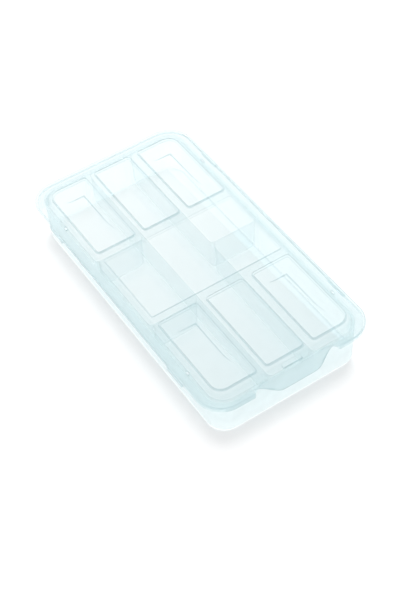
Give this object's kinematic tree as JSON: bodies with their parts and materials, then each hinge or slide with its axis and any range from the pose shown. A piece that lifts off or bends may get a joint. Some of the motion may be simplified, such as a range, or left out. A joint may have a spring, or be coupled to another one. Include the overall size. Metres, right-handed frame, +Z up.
{
  "type": "parts sorting tray",
  "caption": "Shallow translucent tray divided into compartments for sorting small model parts, closed by a lift-off lid with raised panels and a front closing tab.",
  "frame": {"origin": "middle of the tray's flat underside", "axes": "+Z up, +Y along the tray's length away from the closing tab, +X across it"},
  "size_m": [0.1034, 0.1948, 0.029],
  "materials": {
    "tray_plastic": "translucent satin polypropylene",
    "lid_plastic": "translucent satin polypropylene"
  },
  "bodies": {
    "tray": {"tray": "tray_plastic"},
    "lid": {"lid": "lid_plastic"}
  },
  "joints": [
    {"name": "lid_lift", "type": "slide", "parent": "tray", "child": "lid", "axis": [0, 0, 1], "range_m": [0, 0.06]}
  ]
}
